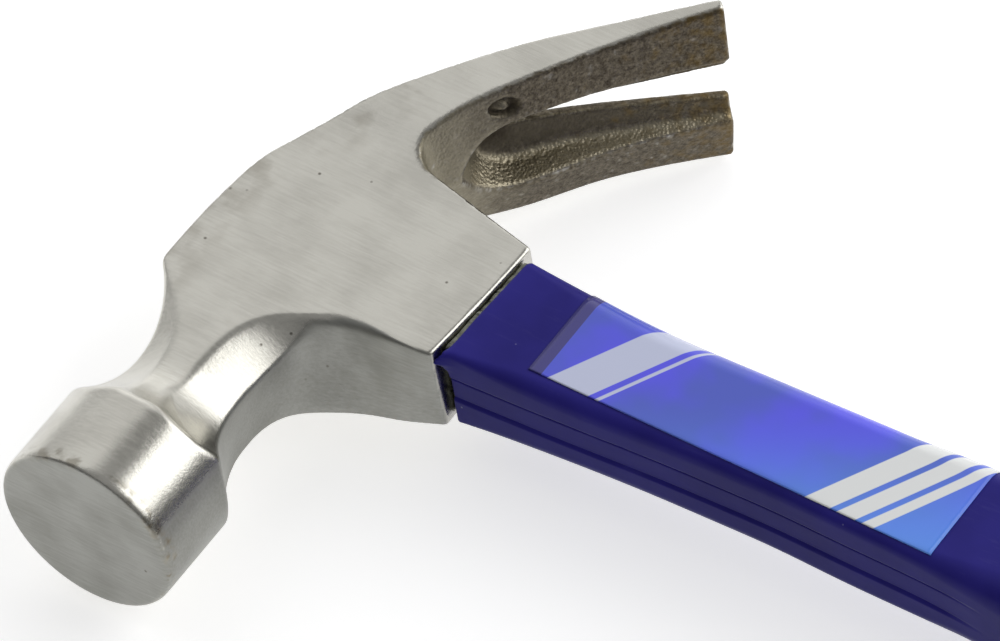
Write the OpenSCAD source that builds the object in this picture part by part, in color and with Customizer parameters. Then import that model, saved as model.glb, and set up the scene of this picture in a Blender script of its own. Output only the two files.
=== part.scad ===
// Claw hammer lying on its side: a forged steel head bonded with resin to a fibreglass-cored handle.
// X runs down the handle from the head to the butt, Y from the striking face to the claw tips,
// and Z is square to the cheeks. Sizes are in millimetres.

/* [Head] */
// Length of the head from the striking face to the claw tips
head_len = 126; // [115:1:152]
// Diameter of the striking face
face_d = 30; // [25:0.5:36]
// Width of the bevel round the striking face
face_bevel = 1.2; // [0.4:0.1:2]
// Length of the round poll behind the face
poll_len = 16; // [13:0.5:19.5]
// Distance from the poll to the neck's waist
neck_run = 15; // [12:0.5:18]
// Height of the neck at its waist, along the handle
neck_h = 19; // [15:0.5:23]
// Thickness of the neck at its waist, across the cheeks
neck_t = 16.8; // [16.5:0.1:20.5]
// Thickness across the flat cheeks
cheek_t = 16.4; // [13.6:0.1:16.8]
// Height of the crown above the head's axis
crown_h = 16.2; // [13.5:0.1:19.5]
// Distance from the striking face to the handle's axis
eye_y = 62.8; // [60:0.2:75.4]

/* [Skirt and eye] */
// Distance from the head's axis to the skirt's mouth
skirt_drop = 31.5; // [27:0.5:38]
// Length of the skirt's mouth, along the head
skirt_len = 24.4; // [22:0.2:29.4]
// Length of the eye, along the head
eye_len = 18; // [15:0.2:20]
// Width of the eye, across the cheeks
eye_w = 10; // [9:0.2:12]

/* [Claw] */
// Width over both prongs at their tips
claw_w = 35.2; // [31:0.2:42.4]
// Width over both prongs where the claw has left the cheeks
claw_root_w = 28; // [23:0.2:33.6]
// Drop of the claw tips below the head's axis
claw_drop = 34; // [28:0.5:41]
// Thickness of the prongs at their tips
tip_t = 1.6; // [1:0.1:2.5]
// Width of the nail notch at the tips
notch_w = 8; // [6.6:0.2:9.6]
// Length of the nail notch, along the head
notch_len = 34; // [28:0.5:41]

/* [Handle] */
// Overall length of the hammer, from the crown to the butt
total_len = 330; // [316:1:396]
// Length of the core's section, along the head
core_len = 13; // [11:0.2:15.6]
// Thickness of the core's section, across the cheeks
core_t = 8; // [6.6:0.2:9]
// Thickness of the resin bead at the skirt's mouth
bead_t = 0.8; // [0.4:0.1:1.5]
// Step from the skirt down to the jacket, all round the mouth
mouth_step = 0.3; // [0.1:0.1:1]
// Width of the jacket's shaft below its taper
shaft_w = 21; // [17.5:0.5:23.5]
// Offset of the shaft from the eye's axis, towards the claw
shaft_shift = 1.4; // [0:0.1:1.6]
// Length of the taper from the skirt's mouth to the shaft
taper_len = 44; // [36:1:53]
// Width of the channel down each narrow side
channel_w = 4.4; // [3:0.2:5.4]
// Depth of the channel
channel_depth = 0.6; // [0.3:0.1:1]

/* [Grip] */
// Length of the rubber grip
grip_len = 176; // [150:1:188]
// Width of the grip at its palm swell
grip_w = 31; // [26:0.5:37]
// Thickness of the grip at its palm swell
grip_t = 25; // [21:0.5:30]
// Width of the grip's butt
butt_w = 35; // [29:0.5:42]
// Thickness of the grip's butt
butt_t = 27; // [22.5:0.5:31]
// Thickness of the rubber at the grip's collar
rubber_t = 2.4; // [1.5:0.1:3]
// Diameter of the hole for hanging the hammer up
hang_d = 8; // [5:0.5:10]

/* [Label] */
// Length of the label
label_len = 71; // [58:1:82]
// Width of the label on the flat of the handle
label_w = 16.6; // [13:0.2:17]
// Distance from the skirt's mouth to the label
label_gap = 12; // [8:0.5:16]
// Thickness of the printed film
film_t = 0.15; // [0.1:0.05:0.3]

/* [Hidden] */
$fn = 64;
// Straight pieces in each curved stretch of an outline
curve_steps = 14;
// How far a cutting shape runs past what it cuts
past = 5;
// Thickness of the slices that a smooth body is drawn between
slice = 0.02;

face_r = face_d / 2;
cheek_z = cheek_t / 2;
waist_y = poll_len + neck_run;
skirt_front = eye_y - skirt_len / 2;
skirt_rear = eye_y + skirt_len / 2;
// The cheek's upper front corner stands this far ahead of the skirt
crown_lead = 4.2;
crown_front = skirt_front - crown_lead;
// The claw's underside springs from the back of the skirt, this far above the mouth and behind it
root_rise = 25.3;
root_back = 7;
root_fillet = 3;
root_x = skirt_drop - root_rise;
root_y = skirt_rear + root_back;
// How far, as [x, y], the crown and the underside of the claw are drawn along their tangents at each end
crown_pull = [1, 34];
crown_tip_pull = [35, 28];
under_tip_pull = [14.3, 15.1];
under_root_pull = [1.3, 10];
// The tips' end faces lean this far from the handle's direction
tip_lean = 50;
// The prongs spread sideways over this run behind the root, and ease in and out over the pull
spread_run = 14;
spread_pull = 9;
spread_ease = 1;
// The neck's bevels lean this far from the cheeks, and its waist is thinner across the lower pair
bevel_lean = 33;
bevel_low = 15.6;
bevel_high = 18.4;
// The lower bevels run out more squarely than the round hollow under the neck
bevel_power = 3;
hollow_power = 2;
// The neck's flats start just proud of the poll, so that the poll stays round
poll_ease = 0.3;
// The poll's round trims the neck over this share of the way to the waist
round_share = 2 / 3;
// Reach of the shapes that trim the head
reach = 4 * (skirt_drop + claw_w);

butt_x = total_len - crown_h;
grip_x = butt_x - grip_len;
// The fill of the eye sits this far below the crown
crown_sink = 0.6;
jacket_x = skirt_drop + bead_t;
jacket_w = skirt_len - 2 * mouth_step;
jacket_t = cheek_t - 2 * mouth_step;
jacket_front = eye_y - jacket_w / 2;
jacket_rear = eye_y + jacket_w / 2;
shaft_y = eye_y + shaft_shift;
shaft_front = shaft_y - shaft_w / 2;
shaft_rear = shaft_y + shaft_w / 2;
label_x = skirt_drop + label_gap;
// The jacket swells from just below the label to its collar, by this much on each side
label_margin = 2;
swell_x = label_x + label_len + label_margin;
collar_step_w = 2;
collar_step_t = 1.6;
collar_w = shaft_w + 2 * collar_step_w;
collar_t = jacket_t + 2 * collar_step_t;
tang_w = collar_w - 2 * rubber_t;
tang_t = collar_t - 2 * rubber_t;
// Corner radii of the jacket at its mouth and along its shaft, and of the tang and the grip
mouth_r = 1.2;
shaft_r = 2;
tang_r = 5;
collar_r = 6;
lead_r = 8;
grip_r = 10;
// The tang stops short of the hanging hole, and the core short of the tang's end
hang_edge = 13;
hang_x = butt_x - hang_edge;
tang_end = hang_x - hang_d / 2 - rubber_t;
core_end = tang_end - rubber_t;

// Point at u, from 0 to 1, on the cubic curve from a to d that leaves towards b and arrives from c
function bezier(a, b, c, d, u) =
    pow(1 - u, 3) * a + 3 * pow(1 - u, 2) * u * b + 3 * (1 - u) * u * u * c + pow(u, 3) * d;
function curve(a, b, c, d) = [for (i = [0:curve_steps]) bezier(a, b, c, d, i / curve_steps)];
// Hollow quarter from a, where it runs along Y, to b, where it stands square to Y; a higher power is squarer
function hollow(a, b, power) = [
    for (i = [0:curve_steps])
        let (t = 90 * i / curve_steps)
        [b.x - (b.x - a.x) * pow(cos(t), 2 / power), a.y + (b.y - a.y) * pow(sin(t), 2 / power)]
];
// Hollow arc that runs along Y at a and passes through b
function hollow_arc(a, b) =
    let (run = b.y - a.y, rise = b.x - a.x, radius = (run * run + rise * rise) / (2 * rise))
    [
        for (i = [0:curve_steps])
            let (s = run * i / curve_steps)
            [a.x + radius - sqrt(radius * radius - s * s), a.y + s]
    ];
function reversed(list) = [for (i = [len(list) - 1:-1:0]) list[i]];
function mirrored(list) = [for (p = list) [-p.x, p.y]];
// From the face along the poll and down to the waist, as [distance from the head's axis, y]
function poll_to_waist(waist) = concat(
    [[face_r + poll_ease, -past]],
    reversed(hollow_arc([waist, waist_y], [face_r + poll_ease, poll_len])));
// Slot with round ends, its length along Y, as [y, z]
function slot(length, width) =
    let (r = width / 2, shift = length / 2 - r, steps = 2 * curve_steps)
    concat(
        [for (i = [0:steps]) let (t = 180 * i / steps) [shift + r * sin(t), r * cos(t)]],
        [for (i = [0:steps]) let (t = 180 + 180 * i / steps) [r * sin(t) - shift, r * cos(t)]]);

// The crown's line from the cheek's front corner to the claw tips, as [x, y]
function crown_line() =
    let (corner = [-crown_h, crown_front], tip = [claw_drop, head_len])
    curve(corner, corner + crown_pull, tip - crown_tip_pull, tip);
// The claw's underside from the tips to its root, and the root's fillet into the skirt
function underside_line() =
    let (
        tip = [claw_drop, head_len] + tip_t * [sin(tip_lean), -cos(tip_lean)],
        root = [root_x, root_y],
        skirt = root + root_fillet * [1, -1],
        ease = root_fillet / 2
    )
    concat(
        curve(tip, tip - under_tip_pull, root + under_root_pull, root),
        curve(root, root - [0, ease], skirt - [ease, 0], skirt));
// Half-outline of the head seen down the handle, as [z, y]
function head_plan() =
    let (root_z = claw_root_w / 2, spread_y = root_y + spread_run)
    concat(
        poll_to_waist(neck_t / 2),
        [[cheek_z, crown_front]],
        curve([cheek_z, skirt_rear], [cheek_z, skirt_rear + spread_pull],
            [root_z - spread_ease, spread_y - spread_pull], [root_z, spread_y]),
        [[claw_w / 2, head_len], [claw_w / 2, head_len + past]]);
// Distance of a neck bevel from the head's axis, as [distance, y]: past end_y it trims nothing
function bevel_edge(waist, rise, end_y) =
    concat(poll_to_waist(waist), rise, [[reach / 2, end_y], [reach / 2, head_len + past]]);

// Outline of the whole head seen square to the cheeks, as [x, y]
module head_side() {
    over_neck = concat(poll_to_waist(neck_h / 2), hollow_arc([neck_h / 2, waist_y], [crown_h, crown_front]));
    under_neck = concat(
        poll_to_waist(neck_h / 2),
        hollow([neck_h / 2, waist_y], [skirt_drop, skirt_front], hollow_power));
    polygon(concat(
        mirrored(over_neck), crown_line(), underside_line(), [[skirt_drop, skirt_rear]], reversed(under_neck)));
}

// Stands an outline of [z, y] up along X
module along_x(outline) {
    rotate([90, 0, 90]) linear_extrude(reach, center = true) polygon([for (p = outline) [p.y, p.x]]);
}

// Everything below a bevel that faces up and leans towards the handle, or away from it where lean is negative
module below_bevel(edge, lean) {
    floor_z = -reach / 2;
    rotate([0, lean, 0]) along_x(concat(edge, [[floor_z, head_len + past], [floor_z, -past]]));
}

// The poll's round with its bevelled rim, and free space behind it
module poll_round() {
    round_end = poll_len + round_share * neck_run;
    rotate([-90, 0, 0]) rotate_extrude()
        polygon([[0, 0], [face_r - face_bevel, 0], [face_r, face_bevel], [face_r, round_end], [0, round_end]]);
    translate([-reach / 2, round_end - slice, -reach / 2]) cube(reach);
}

// V notch between the prongs, open past the tips
module nail_notch() {
    apex_y = head_len - notch_len;
    open_y = head_len + past;
    open_z = notch_w / 2 * (open_y - apex_y) / notch_len;
    along_x([[0, apex_y], [open_z, open_y], [-open_z, open_y]]);
}

// A bar with round ends, centred on the handle's axis
module handle_bar(from, to, length, width) {
    translate([from, eye_y, 0]) rotate([90, 0, 90]) linear_extrude(to - from) polygon(slot(length, width));
}

// Keeps what lies below the crown, by a given depth
module below_crown(depth) {
    intersection() {
        children();
        translate([depth, 0, 0]) linear_extrude(reach, center = true)
            polygon(concat(crown_line(), [[total_len, head_len], [total_len, crown_front]]));
    }
}

// Smooth body between two sections, each [x, front y, rear y, thickness, corner radius]
module between(a, b) {
    hull() for (end = [0, 1]) let (s = end == 0 ? a : b, r = s[4], high = s[3] / 2 - r)
        for (y = [s[1] + r, s[2] - r], z = [-high, high])
            translate([s[0] - end * slice, y, z]) rotate([0, 90, 0]) cylinder(r = r, h = slice, $fn = 32);
}

module smooth_body(sections) {
    for (i = [1:len(sections) - 1]) between(sections[i - 1], sections[i]);
}

// Section that is centred on the shaft
function shaft_section(x, width, thickness, r) = [x, shaft_y - width / 2, shaft_y + width / 2, thickness, r];

// The taper has used half of its change in width by this share of its length
taper_knee = 1 / 3;
knee_front = (jacket_front + shaft_front) / 2;
knee_rear = (jacket_rear + shaft_rear) / 2;
jacket_sections = [
    [jacket_x, jacket_front, jacket_rear, jacket_t, mouth_r],
    [jacket_x + taper_knee * taper_len, knee_front, knee_rear, jacket_t, shaft_r],
    shaft_section(jacket_x + taper_len, shaft_w, jacket_t, shaft_r),
    shaft_section(swell_x, shaft_w, jacket_t, shaft_r),
    shaft_section(grip_x, collar_w, collar_t, collar_r)
];
tang_sections = [
    shaft_section(grip_x, tang_w, tang_t, tang_r),
    shaft_section(tang_end, tang_w, tang_t, tang_r)
];
// The grip leaves the collar, swells for the palm, draws in for the fingers and flares at the butt
grip_lead = 14;
swell_at = 50;
fingers_at = 105;
fingers_in = 2.4;
flare_at = 26;
round_at = 6;
round_in = 5;
grip_sections = [
    shaft_section(grip_x, collar_w, collar_t, collar_r),
    shaft_section(grip_x + grip_lead, (collar_w + grip_w) / 2, (collar_t + grip_t) / 2, lead_r),
    shaft_section(grip_x + swell_at, grip_w, grip_t, grip_r),
    shaft_section(grip_x + fingers_at, grip_w - fingers_in, grip_t - fingers_in, grip_r),
    shaft_section(butt_x - flare_at, butt_w, butt_t, grip_r),
    shaft_section(butt_x - round_at, butt_w, butt_t, grip_r),
    shaft_section(butt_x, butt_w - 2 * round_in, butt_t - 2 * round_in, grip_r - round_in)
];

module hammer_head() {
    low_reach = skirt_drop * sin(bevel_lean) + cheek_z * cos(bevel_lean);
    high_reach = crown_h * sin(bevel_lean) + cheek_z * cos(bevel_lean);
    low_rise = hollow([bevel_low / 2, waist_y], [low_reach, skirt_front], bevel_power);
    high_rise = hollow_arc([bevel_high / 2, waist_y], [high_reach, crown_front]);
    low = bevel_edge(bevel_low / 2, low_rise, skirt_front);
    high = bevel_edge(bevel_high / 2, high_rise, crown_front);
    color("#b6b4ac") difference() {
        intersection() {
            linear_extrude(reach, center = true) head_side();
            along_x(concat(head_plan(), reversed(mirrored(head_plan()))));
            below_bevel(low, bevel_lean);
            mirror([0, 0, 1]) below_bevel(low, bevel_lean);
            below_bevel(high, -bevel_lean);
            mirror([0, 0, 1]) below_bevel(high, -bevel_lean);
            poll_round();
        }
        handle_bar(-crown_h - past, skirt_drop + past, eye_len, eye_w);
        nail_notch();
    }
}

module fibreglass_core() {
    color("#c9c39a") below_crown(crown_sink) handle_bar(-crown_h, core_end, core_len, core_t);
}

module eye_resin() {
    color("#4a4f45") difference() {
        union() {
            below_crown(crown_sink) handle_bar(-crown_h, skirt_drop + bead_t, eye_len, eye_w);
            translate([skirt_drop, jacket_front, -jacket_t / 2]) cube([bead_t, jacket_w, jacket_t]);
        }
        handle_bar(-crown_h - past, jacket_x + past, core_len, core_t);
    }
}

module handle_jacket() {
    // The channels follow the narrow sides and end where the jacket swells towards the grip
    channelled = [for (i = [0:len(jacket_sections) - 2]) jacket_sections[i]];
    channel_r = channel_w / 4;
    front_channel = [for (s = channelled) [s[0], s[1] - past, s[1] + channel_depth, channel_w, channel_r]];
    rear_channel = [for (s = channelled) [s[0], s[2] - channel_depth, s[2] + past, channel_w, channel_r]];
    color("#34309a") difference() {
        union() {
            smooth_body(jacket_sections);
            smooth_body(tang_sections);
        }
        smooth_body(front_channel);
        smooth_body(rear_channel);
        handle_bar(jacket_x - past, core_end, core_len, core_t);
    }
}

module rubber_grip() {
    color("#1d1d20") difference() {
        smooth_body(grip_sections);
        smooth_body(tang_sections);
        translate([hang_x, shaft_y, 0]) cylinder(d = hang_d, h = 2 * butt_t, center = true);
    }
}

module handle_label() {
    color("#4a6ce0") translate([label_x, shaft_rear - shaft_r - label_w, jacket_t / 2])
        cube([label_len, label_w, film_t]);
}

// The origin lies under the middle of the hammer, at the height of the lower prong's edge
module placed() {
    translate([crown_h - total_len / 2, -head_len / 2, claw_w / 2]) children();
}

placed() hammer_head();
placed() fibreglass_core();
placed() eye_resin();
placed() handle_jacket();
placed() rubber_grip();
placed() handle_label();
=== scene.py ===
# %% [markdown]
# # A claw hammer on a pale table
# The hammer is a forged steel head on a fibreglass rod, with a blue plastic jacket and a rubber grip
# moulded round the rod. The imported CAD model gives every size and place. This lesson builds finer meshes
# and real finishes over it, one piece at a time, and never moves the CAD parts.

# %% Load the CAD frame
import itertools
import math

import bpy
import numpy as np
from mathutils import Matrix, Vector, noise


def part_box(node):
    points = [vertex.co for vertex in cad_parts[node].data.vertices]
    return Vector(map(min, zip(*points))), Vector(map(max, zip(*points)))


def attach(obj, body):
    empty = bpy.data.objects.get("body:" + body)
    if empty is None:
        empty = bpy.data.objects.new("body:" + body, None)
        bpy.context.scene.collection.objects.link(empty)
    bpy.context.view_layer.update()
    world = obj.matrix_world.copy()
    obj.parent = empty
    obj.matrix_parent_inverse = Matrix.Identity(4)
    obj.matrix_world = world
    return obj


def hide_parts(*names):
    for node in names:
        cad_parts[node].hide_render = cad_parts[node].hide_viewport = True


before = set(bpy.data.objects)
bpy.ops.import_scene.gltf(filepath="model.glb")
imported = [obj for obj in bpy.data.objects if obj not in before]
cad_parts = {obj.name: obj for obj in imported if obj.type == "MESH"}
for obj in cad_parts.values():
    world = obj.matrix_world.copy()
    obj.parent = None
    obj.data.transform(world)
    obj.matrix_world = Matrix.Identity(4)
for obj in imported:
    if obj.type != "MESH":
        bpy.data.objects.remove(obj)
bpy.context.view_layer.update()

# %% [markdown]
# ## One frame for all the pieces
# A hammer maker measures from the striking face. So the pieces below are written in millimetres from the
# middle of that face: x down the handle, y from the face towards the claw, z out of the upper cheek. One
# function turns such points into metres in the CAD frame.

# %% Hammer frame
MM = 0.001
CROWN_H = 16.2
head_low, head_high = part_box("hammer_head")
face_middle = np.array((head_low.x + CROWN_H * MM, head_low.y, (head_low.z + head_high.z) / 2))


def to_row(points):
    """Points in mm from the middle of the striking face, as metres in the CAD frame."""
    return np.asarray(points, float) * MM + face_middle


print("Middle of the striking face in mm:", (face_middle / MM).round(2))

# %% [markdown]
# ## Camera
# The picture was taken from far off with a long lens, because the edges of the head run nearly parallel.
# A long lens is set by its focal length on a 36 mm sensor; the aim point is on the upper cheek, and a
# small roll tips the horizon. A spot and an aim are easier to read than three angles.


# %% Camera
def new_object(name, data):
    """An object in the scene that holds this data."""
    made = bpy.data.objects.new(name, data)
    bpy.context.scene.collection.objects.link(made)
    return made


CAMERA_SPOT = Vector((596.0, -934.82, 1404.88)) * MM
CAMERA_AIM = Vector((-113.62, -2.0, 25.8)) * MM
CAMERA_ROLL = math.radians(-5.2145)
camera_data = bpy.data.cameras.new("long_lens")
camera_data.sensor_fit = "HORIZONTAL"
camera_data.sensor_width = 36
camera_data.lens = 432
camera_data.clip_end = 50
camera = new_object("camera", camera_data)
look = (CAMERA_AIM - CAMERA_SPOT).to_track_quat("-Z", "Y").to_matrix()
camera.matrix_world = Matrix.Translation(CAMERA_SPOT) @ (look @ Matrix.Rotation(CAMERA_ROLL, 3, "Z")).to_4x4()
bpy.context.scene.camera = camera
print("Camera to aim:", round((CAMERA_AIM - CAMERA_SPOT).length, 3), "m")

# %% [markdown]
# ## Nodes and colours
# A material here is a small tree of shader nodes. One helper adds any node with its settings and links,
# and returns its output. Colours are written as hex values, as a paint chart gives them, and turned into
# the linear values that Blender's shaders use.


# %% Node and colour helpers
def feed(tree, node, inputs):
    """Links each input of a node that is given a node's output, and sets each that is given a value."""
    for key, value in inputs.items():
        socket = next(s for i, s in enumerate(node.inputs) if s.enabled and key in (i, s.name))
        if isinstance(value, bpy.types.NodeSocket):
            tree.links.new(value, socket)
        else:
            socket.default_value = value


def add_node(tree, kind, inputs=None, out=None, **settings):
    """Adds a shader node with its settings and inputs; returns its output of that name, or else its first."""
    made = tree.nodes.new("ShaderNode" + kind)
    for name, value in settings.items():
        setattr(made, name, value)
    feed(tree, made, inputs or {})
    return next(s for s in made.outputs if s.enabled and out in (None, s.name))


def linear(hex_colour):
    """An sRGB hex colour as linear red, green, blue and alpha."""
    channels = [int(hex_colour[i:i + 2], 16) / 255 for i in (1, 3, 5)]
    return (*[c / 12.92 if c <= 0.04045 else ((c + 0.055) / 1.055) ** 2.4 for c in channels], 1)


def per_mm(size):
    """Texture scale at which one feature of a pattern is about this many millimetres across."""
    return 1 / (size * MM)


def new_material(name):
    """An empty material, its node tree, its principled shader and the piece's own coordinates in metres."""
    made = bpy.data.materials.new(name)
    made.use_nodes = True
    tree = made.node_tree
    return made, tree, tree.nodes["Principled BSDF"], add_node(tree, "TexCoord", out="Object")


def two_tone(tree, pattern, low, high, first, second):
    """A colour that goes from one hex tone to another as a pattern rises from low to high."""
    share = add_node(tree, "MapRange", {"Value": pattern, "From Min": low, "From Max": high})
    return add_node(tree, "Mix", {
        "Factor": share, "A": linear(first), "B": linear(second)}, data_type="RGBA")


print("Mid grey in linear light:", round(linear("#808080")[0], 3))

# %% [markdown]
# ## Table and light
# A pale table fills the background. It is plain diffuse white, with a little glow for the camera and for
# mirror rays, so that it reads as white while it still shows the hammer's shadow. The light is a dim grey
# room with a pale wall beyond the claw, and two soft boxes: a wide one up behind the head, which the
# cheek mirrors, and a narrower, brighter one beyond the handle, which draws the white bands along the
# poll and the neck's bevel. The cloth of that one is dimmer towards its ends, so the bands fade out.

# %% Table
TABLE_RADIUS, TABLE_SIDES = 8.0, 96
TABLE_GLOW = 0.54
table_points = [
    (TABLE_RADIUS * math.cos(a), TABLE_RADIUS * math.sin(a), 0)
    for a in np.linspace(0, 2 * math.pi, TABLE_SIDES, endpoint=False)
]
table_mesh = bpy.data.meshes.new("table")
table_mesh.from_pydata(table_points, [], [range(len(table_points))])
table = new_object("table", table_mesh)
table_paint, tree, shader, _ = new_material("white_painted_table")
seen = add_node(tree, "LightPath", out="Is Camera Ray")
for kind in ("Is Glossy Ray", "Is Transmission Ray"):
    ray = add_node(tree, "LightPath", out=kind)
    seen = add_node(tree, "Math", {0: seen, 1: ray}, operation="MAXIMUM")
glow = add_node(tree, "Math", {0: seen, 1: TABLE_GLOW}, operation="MULTIPLY")
feed(tree, shader, {"Base Color": linear("#ededed"), "Roughness": 0.9, "Specular IOR Level": 0,
                    "Emission Color": (1, 1, 1, 1), "Emission Strength": glow})
table_mesh.materials.append(table_paint)
print("Table:", 2 * TABLE_RADIUS, "m across")

# %% Room and soft boxes
ROOM_HORIZON, ROOM_ZENITH, ROOM_TOP = 0.07, 0.33, 0.8
BACK_WALL, WALL_START, WALL_FULL = 1.1, 0.55, 0.85
world = bpy.data.worlds.new("grey_room")
bpy.context.scene.world = world
world.use_nodes = True
tree = world.node_tree
direction = add_node(tree, "TexCoord", out="Generated")
height = add_node(tree, "SeparateXYZ", {0: direction}, out="Z")
ahead = add_node(tree, "SeparateXYZ", {0: direction}, out="Y")
horizon = add_node(tree, "MapRange", {
    "Value": ahead, "From Min": WALL_START, "From Max": WALL_FULL,
    "To Min": ROOM_HORIZON, "To Max": BACK_WALL})
level = add_node(tree, "MapRange", {
    "Value": height, "From Min": 0.0, "From Max": ROOM_TOP, "To Min": horizon, "To Max": ROOM_ZENITH})
feed(tree, tree.nodes["Background"], {"Strength": level, "Color": (1, 1, 1, 1)})
# The far end of a lit cloth fades out over this share of what its near end does
FAR_FADE = 0.66
# Name, direction from the head, distance, width and length in metres, brightness of the lit cloth, and the
# share of its length over which its near end fades out
SOFT_BOXES = [
    ("soft_box_behind", (-0.72, 0.36, 0.6), 1.3, 2.0, 2.7, 0.55, 0.02),
    ("soft_box_beyond_handle", (0.63, 0.53, 0.57), 1.3, 0.9, 2.7, 2.8, 0.68),
]
head_middle = Vector(to_row((0, 45, 0)))
for name, towards, distance, width, length, brightness, fade in SOFT_BOXES:
    lamp = bpy.data.lights.new(name, "AREA")
    lamp.shape = "RECTANGLE"
    lamp.size = width
    lamp.size_y = length
    lamp.energy = math.pi * width * length * brightness
    lamp.use_nodes = True
    tree = lamp.node_tree
    spot = add_node(tree, "SeparateXYZ", {0: add_node(tree, "NewGeometry", out="Parametric")}, out="Y")
    rising = add_node(tree, "MapRange", {"Value": spot, "From Max": fade}, interpolation_type="SMOOTHSTEP")
    falling = add_node(tree, "MapRange", {
        "Value": spot, "From Min": 1, "From Max": 1 - FAR_FADE * fade}, interpolation_type="SMOOTHSTEP")
    lit = add_node(tree, "Math", {0: rising, 1: falling}, operation="MULTIPLY")
    feed(tree, tree.nodes["Emission"], {"Strength": lit})
    box = new_object(name, lamp)
    # The lamp shines back along its own z axis, and its length follows the head's
    out = Vector(towards).normalized()
    along = (Vector((0, 1, 0)) - out * out.y).normalized()
    turn = Matrix((along.cross(out), along, out)).transposed()
    box.matrix_world = Matrix.Translation(head_middle + out * distance) @ turn.to_4x4()
bpy.context.scene.view_settings.view_transform = "Standard"
print("Soft boxes:", [b[0] for b in SOFT_BOXES])

# %% [markdown]
# ## Meshes from a field
# A forging has crisp and soft edges on the same lump, and fillets that melt into each other. Booleans and
# bevels struggle with that. A signed field does it well: it is a function that is negative inside the
# steel, and whose parts are joined by a maximum with a chosen softness. The mesh is then grown on a grid,
# one vertex in each cell that the surface crosses, and each vertex is slid onto the exact surface, so
# flats stay flat in a mirror.


# %% Field helpers
def smooth_max(a, b, width):
    """The larger of two fields, with the edge where they meet rounded over about this width in mm."""
    overlap = np.maximum(width - np.abs(a - b), 0) / width
    return np.maximum(a, b) + overlap * overlap * width / 4


def smooth_step(value, low, high):
    """0 at low and 1 at high, eased in between and level beyond; low may be the larger of the two."""
    u = np.clip((value - low) / (high - low), 0, 1)
    return u * u * (3 - 2 * u)


def smooth_line(*stations):
    """A function through (place, value) stations, in cubic pieces that share their slopes."""
    place, value = np.array(stations, float).T
    slope = np.gradient(value, place)

    def line(at):
        i = np.clip(np.searchsorted(place, at) - 1, 0, len(place) - 2)
        span = place[i + 1] - place[i]
        u = np.clip((at - place[i]) / span, 0, 1)
        keep = 1 - u
        return (value[i] * keep * keep * (1 + 2 * u) + value[i + 1] * u * u * (1 + 2 * keep)
                + span * u * keep * (slope[i] * keep - slope[i + 1] * u))

    return line


def off_line(across, line, at):
    """Distance from a line, square to it; across is the coordinate that the line gives at a place."""
    step = 0.05
    slope = (line(at + step) - line(at - step)) / (2 * step)
    return (across - line(at)) / np.sqrt(1 + slope * slope)


print("Where two equal fields meet, a width of 1 mm takes off", smooth_max(0.0, 0.0, 1.0), "mm")


# %% Grow a mesh from a field
def surface_net(values):
    """Vertices, in cells, and quads where a sampled field changes sign."""
    inside = values < 0
    cells = tuple(n - 1 for n in values.shape)
    total = np.zeros(cells + (3,))
    hits = np.zeros(cells)
    for axis in range(3):
        for first in itertools.product((0, 1), repeat=2):
            corner = np.insert(first, axis, 0)
            other = np.insert(first, axis, 1)
            a, b = (values[tuple(slice(s, s + n) for s, n in zip(end, cells))] for end in (corner, other))
            crossed = (a < 0) != (b < 0)
            share = np.where(crossed, a / np.where(crossed, a - b, 1), 0)
            total += crossed[..., None] * corner
            total[..., axis] += share
            hits += crossed
    used = hits > 0
    number = np.full(cells, -1)
    number[used] = np.arange(used.sum())
    vertices = np.argwhere(used) + total[used] / hits[used][:, None]
    quads = []
    for axis in range(3):
        across, along = np.eye(3, dtype=int)[[(axis + 1) % 3, (axis + 2) % 3]]
        start, end = np.delete(inside, -1, axis), np.delete(inside, 0, axis)
        edge = np.argwhere(start != end)
        ring = [number[tuple((edge - shift).T)] for shift in (0 * across, across, across + along, along)]
        quad = np.stack(ring, axis=1)
        leaving = start[tuple(edge.T)]
        quad[~leaving] = quad[~leaving][:, ::-1]
        quads.append(quad)
    return vertices, np.concatenate(quads)


def field_slope(field, points):
    """Slope of a field at points, from its values at the four corners of a tiny tetrahedron."""
    reach = 0.02
    corners = np.array(((1, -1, -1), (-1, -1, 1), (-1, 1, -1), (1, 1, 1)), float)
    return sum(c * field(*(points + reach * c).T)[:, None] for c in corners) / (4 * reach)


def neighbour_mean(points, quads):
    """Mean of the neighbours of each vertex along the quads' edges."""
    edges = np.concatenate([quads[:, [i, (i + 1) % 4]] for i in range(4)])
    total = np.zeros_like(points)
    count = np.zeros(len(points))
    for a, b in ((0, 1), (1, 0)):
        np.add.at(total, edges[:, a], points[edges[:, b]])
        np.add.at(count, edges[:, a], 1)
    return total / count[:, None]


def grow(field, low, high, cell):
    """Vertices in mm, quads and outward normals of the surface where a field is zero, inside a box."""
    axes = [np.arange(a, b + cell, cell) for a, b in zip(low, high)]
    values = field(*np.meshgrid(*axes, indexing="ij", sparse=True))
    points, quads = surface_net(np.broadcast_to(values, [len(a) for a in axes]))
    points = points * cell + np.array(low)
    # Three rounds even out the spacing and slide the vertices onto the surface; two more only slide them
    for easing in (0.6, 0.6, 0.4, 0, 0):
        if easing:
            points += easing * (neighbour_mean(points, quads) - points)
        slope = field_slope(field, points)
        steepness = np.maximum((slope * slope).sum(1), 0.25)
        move = (field(*points.T) / steepness)[:, None] * slope
        points -= np.clip(move, -cell, cell)
    normals = field_slope(field, points)
    return points, quads, normals / np.linalg.norm(normals, axis=1)[:, None]


def new_piece(name, points, faces, node, material):
    """A smooth-shaded mesh object from points in mm, which stands for a CAD node and rides on the hammer."""
    mesh = bpy.data.meshes.new(name)
    mesh.from_pydata(to_row(points).tolist(), [], [list(map(int, f)) for f in faces])
    mesh.shade_smooth()
    mesh.materials.append(material)
    piece = new_object(name, mesh)
    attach(piece, "root")
    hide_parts(node)
    print(name, "has", len(mesh.vertices), "vertices")
    return piece


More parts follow.
